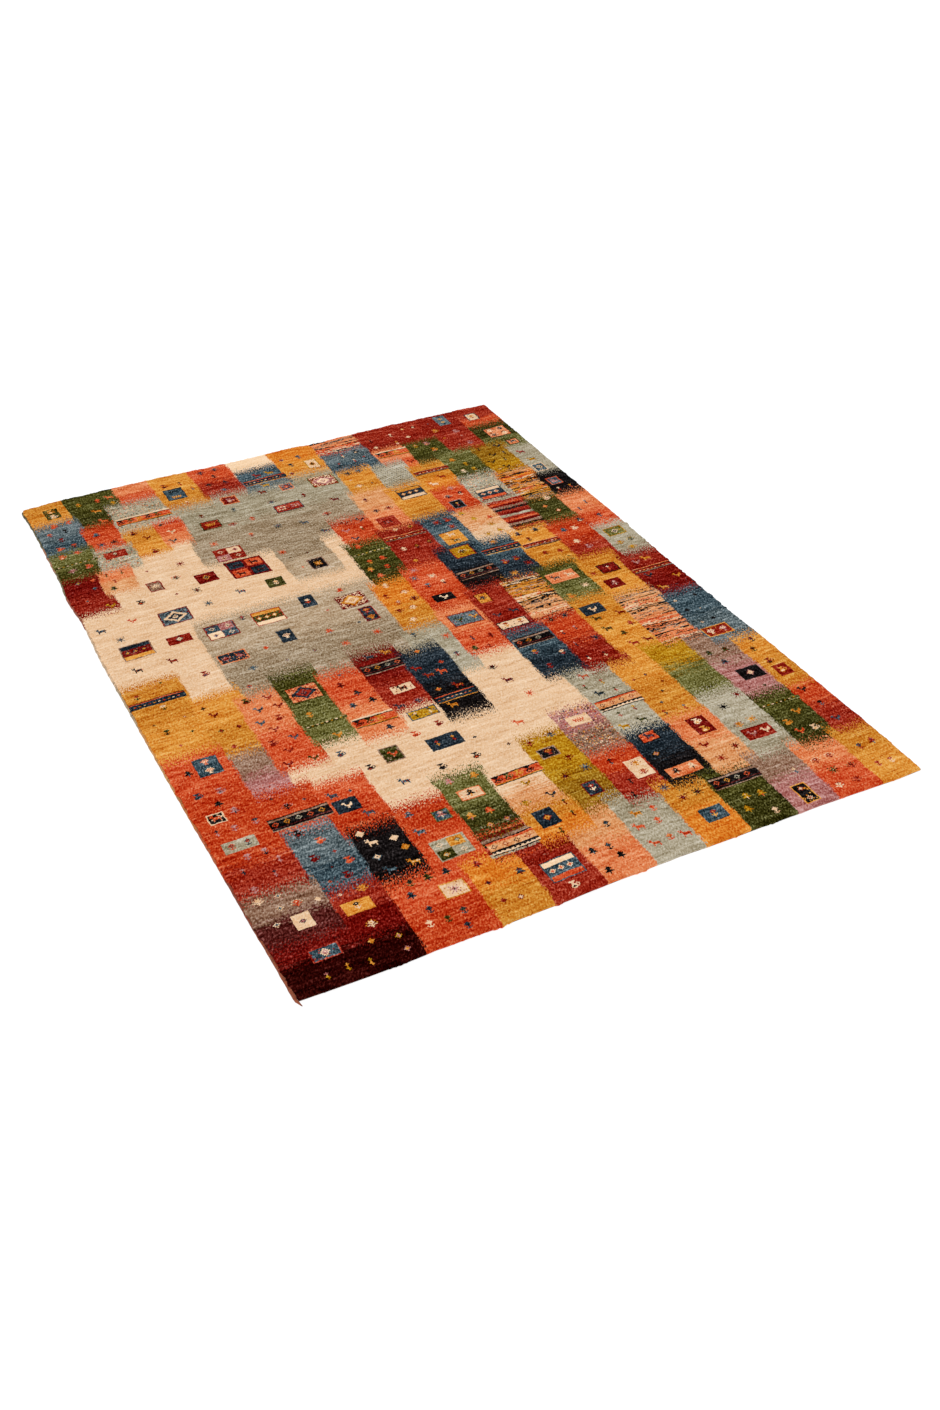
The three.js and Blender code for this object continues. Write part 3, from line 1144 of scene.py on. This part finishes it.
set_uvs(foundation.data, "knots", all_marks[faces.ravel()])


# The side cords: yarn wound round and round, in stretches of different wool

# Mm from one turn of the yarn to the next and how deep its grooves are
WRAP = 3.2
WRAP_DEPTH = 0.35
RINGS_A_WRAP = 3
CORD_SIDES = 8
# A cord is thinner than its solid, thins to END_SHARE over its last CORD_END mm, and is uneven.
CORD_INSET = 0.1
CORD_END = 10
END_SHARE = 0.8
CORD_WANDER = 0.12
WANDER_RINGS = 20
OFF_FLOOR = 0.05
# The loose yarn end: mm ahead of the rug, mm inwards, and its radius.
YARN_END = ((7, 1, 3.2), (13, 3.2, 2.2), (17, 5, 1.2))
# The left cord is stout, and thickens towards its loose yarn end.
STOUT = 1.22
THICK_END = 190
THICKER = 0.42
# Mm by which stretches of wool fray into each other, and how uneven their yarn is
FRAY = 6
CORD_TONES = 0.16
# The cords' fibres and lumps to a metre, their shades, and the relief in metres
CORD_FIBRES = 1300.0
CORD_LUMPS = 160.0
CORD_FIBRE_SHADES = (0.8, 1.15)
CORD_LUMP_SHADES = (0.85, 1.1)
CORD_RELIEF = 0.0006
# Where each stretch of wool starts on the left and right cord, in mm from the front, and its colour
CORD_WOOLS = {
    -1: table("""
0 138 74 50
230 130 64 44
430 168 90 54
620 178 112 62
760 186 136 84
1090 168 146 116
1290 194 166 136
1610 146 82 62
1800 120 108 80
1960 160 112 86
2120 96 88 60
"""),
    1: table("""
0 170 116 62
130 84 78 40
300 136 92 84
480 124 54 34
840 140 70 44
1100 190 136 84
1300 120 110 92
1480 60 50 42
1700 110 100 54
2190 150 70 50
"""),
}


def cord_wool():
    m = Nodes("cord_wool", roughness=0.9, sheen=0.12)
    yarn = m.add("ShaderNodeAttribute", {"attribute_name": "knot_wool"}).outputs["Color"]
    where = m.add("ShaderNodeTexCoord").outputs["Object"]
    fibres = m.noise(where, CORD_FIBRES, 3.0)
    lumps = m.noise(where, CORD_LUMPS, 2.0)
    light_fibres = m.spread(fibres, *FIBRE_RANGE, *CORD_FIBRE_SHADES)
    shade = m.times(light_fibres, m.spread(lumps, *YARN_RANGE, *CORD_LUMP_SHADES))
    m.colour(m.tinted(yarn, shade))
    m.bump(fibres, CORD_RELIEF)
    return m.material


def make_cord(name, side, yarn_end, material):
    """A cord on the left side, -1, or on the right one, 1."""
    rings = int(RUG_LENGTH / WRAP * RINGS_A_WRAP)
    y = np.linspace(-HALF_LENGTH, HALF_LENGTH, rings + 1)
    to_end = np.minimum(y + HALF_LENGTH, HALF_LENGTH - y)
    lean = np.zeros(rings + 1)
    radius = (CORD_RADIUS - CORD_INSET) * (END_SHARE + (1 - END_SHARE) * eased(to_end / CORD_END))
    if yarn_end:
        thicker = STOUT + THICKER * eased((THICK_END - y - HALF_LENGTH) / THICK_END)
        lean = side * radius * (thicker - 1)
        radius = radius * thicker
    for ahead, inwards, thickness in yarn_end:
        y = np.insert(y, 0, -HALF_LENGTH - ahead)
        lean = np.insert(lean, 0, -side * inwards)
        radius = np.insert(radius, 0, thickness)
    angle = np.arange(CORD_SIDES) * tau / CORD_SIDES
    turn = y[:, None] / WRAP + side * angle[None, :] / tau
    ridge = np.abs(np.sin(pi * turn))
    wander = averaged(normal((len(y), 1)), WANDER_RINGS, 0) * CORD_WANDER
    r = radius[:, None] + wander - WRAP_DEPTH * (1 - ridge)
    x, moved_y = on_rug(side * (RUG_WIDTH / 2 - CORD_RADIUS) + lean, y)
    points = np.empty((len(y), CORD_SIDES, 3))
    points[..., 0] = x[:, None] + r * np.cos(angle)
    points[..., 1] = moved_y[:, None]
    points[..., 2] = np.maximum(radius[:, None] + r * np.sin(angle), OFF_FLOOR)
    j, i = np.mgrid[0:len(y) - 1, 0:CORD_SIDES]
    a, b = j * CORD_SIDES + i, j * CORD_SIDES + (i + 1) % CORD_SIDES
    faces = np.stack((a, a + CORD_SIDES, b + CORD_SIDES, b), -1).reshape(-1, 4).tolist()
    faces.append(list(range(CORD_SIDES)))
    faces.append([len(y) * CORD_SIDES - 1 - k for k in range(CORD_SIDES)])
    cord = new_piece(name, points.reshape(-1, 3) * MM, faces, material)
    stretches = np.array(CORD_WOOLS[side])
    starts, wools = stretches[:, 0], linear(stretches[:, 1:])
    middle = (y[:-1] + y[1:]) / 2 + HALF_LENGTH + FRAY * normal(len(y) - 1)
    stretch = np.clip(np.searchsorted(starts, middle) - 1, 0, len(starts) - 1)
    tone = 1 + CORD_TONES * averaged(normal((len(y) - 1, 1)), RINGS_A_WRAP, 0)
    colours = np.repeat(wools[stretch] * tone, CORD_SIDES, 0)
    face_colours(cord.data, "knot_wool", np.concatenate((colours, colours[:1], colours[-1:])))
    cord.data.shade_smooth()
    return cord


overcast = cord_wool()
cord_left = make_cord("cord_left", -1, YARN_END, overcast)
cord_right = make_cord("cord_right", 1, (), overcast)


# The floor, the light and the camera

WHITE = (1, 1, 1, 1)
FLOOR_GREY = (0.2, 0.2, 0.2, 1)
FLOOR_GLOW = 0.9
FLOOR_HALF = 30
FLOOR_DROP = 0.0005
SKY_STRENGTH = 0.49
SUN_STRENGTH = 1.95
SUN_WIDTH = radians(60)
SUN_FROM = Vector((-0.35, 0.0, 1.0))


def floor_material():
    """A light table: it glows, so that shadows on it stay faint."""
    m = Nodes("floor", roughness=0.9, sheen=0.0)
    m.shader.inputs["Base Color"].default_value = FLOOR_GREY
    m.shader.inputs["Emission Color"].default_value = WHITE
    m.shader.inputs["Emission Strength"].default_value = FLOOR_GLOW
    return m.material


floor = new_piece(
    "floor",
    FLOOR_HALF * np.array(((-1, -1, 0), (1, -1, 0), (1, 1, 0), (-1, 1, 0))),
    [(0, 1, 2, 3)],
    floor_material(),
)
floor.location.z = -FLOOR_DROP

world = bpy.data.worlds.new("studio")
world.use_nodes = True
sky = world.node_tree.nodes["Background"].inputs
sky["Color"].default_value = WHITE
sky["Strength"].default_value = SKY_STRENGTH
scene = bpy.context.scene
scene.world = world

sun = bpy.data.lights.new("sun", "SUN")
sun.energy = SUN_STRENGTH
sun.angle = SUN_WIDTH
new_object("sun", sun).rotation_euler = SUN_FROM.to_track_quat("Z", "Y").to_euler()

CAMERA_AZIMUTH = radians(-27.41)
CAMERA_ELEVATION = radians(36.812)
CAMERA_DISTANCE = 4.1032
CAMERA_AIM = Vector((-0.0341, -0.41, 0.0))
FOCAL_PIXELS = 1510.2
LONG_SIDE = 1410
SENSOR = 36
camera = bpy.data.cameras.new("camera")
camera.sensor_width = SENSOR
camera.lens = FOCAL_PIXELS / LONG_SIDE * SENSOR
back = Vector((
    sin(CAMERA_AZIMUTH) * cos(CAMERA_ELEVATION),
    -cos(CAMERA_AZIMUTH) * cos(CAMERA_ELEVATION),
    sin(CAMERA_ELEVATION),
))
camera_object = new_object("camera", camera)
camera_object.location = CAMERA_AIM + back * CAMERA_DISTANCE
camera_object.rotation_euler = back.to_track_quat("Z", "Y").to_euler()
scene.camera = camera_object
scene.view_settings.view_transform = "Standard"


# What each piece stands for

for piece in (*pile_pieces, foundation):
    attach(piece, "root")
    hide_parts("knotted_pile")
for piece, node in ((cord_left, "selvedge_left"), (cord_right, "selvedge_right")):
    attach(piece, "root")
    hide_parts(node)
